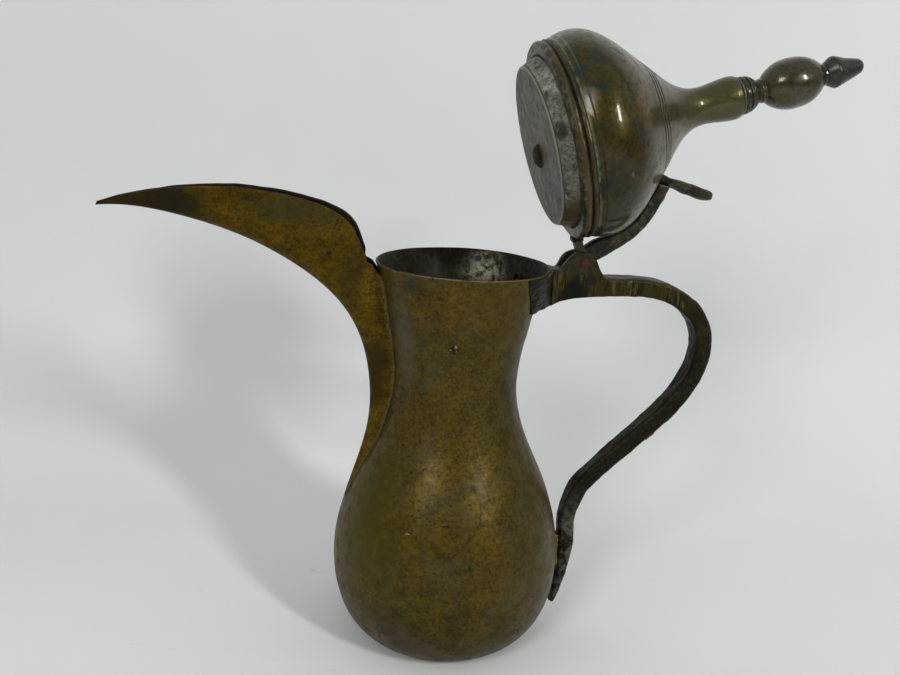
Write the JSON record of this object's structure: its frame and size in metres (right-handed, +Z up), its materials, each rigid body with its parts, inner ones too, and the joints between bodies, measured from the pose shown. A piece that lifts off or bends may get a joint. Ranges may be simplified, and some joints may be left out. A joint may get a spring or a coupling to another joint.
{
  "type": "dallah coffee pot",
  "caption": "Dallah coffee pot with a pear-shaped brass body, crescent open-topped spout, strap handle and a hinged domed lid with a turned finial, lid standing open.",
  "frame": {"origin": "centre of the foot on the surface the pot stands on", "axes": "+Z up along the axis of the body, -X towards the tip of the spout, +X towards the handle, Y across, along the hinge pin; the lid is stored standing open against its stop"},
  "size_m": [0.3676, 0.12, 0.3142],
  "materials": {
    "body_brass": "old rolled brass, brown patina",
    "spout_brass": "old brass, golden patina",
    "cast_brass": "cast brass, dark patina, filed",
    "lid_brass": "spun brass, mottled brown and green patina",
    "finial_brass": "turned brass, dark polished patina",
    "pale_brass": "worn brass washer",
    "dark_brass": "forged brass, nearly black",
    "tinned_brass": "worn tin over brass",
    "copper": "copper rivet metal, dull",
    "solder": "dull hard solder"
  },
  "bodies": {
    "pot": {"body_shell": "body_brass", "base_plate": "body_brass", "spout": "spout_brass", "spout_seam_solder": "solder", "neck_saddle": "cast_brass", "saddle_rivets": "copper", "handle": "cast_brass", "block_rivet": "cast_brass", "hinge_pin": "copper", "tail_solder": "solder"},
    "lid": {"closing_disc": "tinned_brass", "disc_tab": "tinned_brass", "lid_plug_wall": "tinned_brass", "lid_rim_ring": "lid_brass", "lid_dome": "lid_brass", "finial_rod": "finial_brass", "finial_washer": "pale_brass", "finial_collar": "finial_brass", "finial_egg": "finial_brass", "finial_cone": "finial_brass", "lid_strap": "dark_brass", "thumb_tab": "dark_brass", "strap_rivet": "solder", "strap_foot_solder": "solder"}
  },
  "joints": [
    {"name": "lid_hinge", "type": "hinge", "parent": "pot", "child": "lid", "pos_m": [0.0605, 0, 0.2035], "axis": [0, -1, 0], "range_deg": [0, 73.2]}
  ]
}
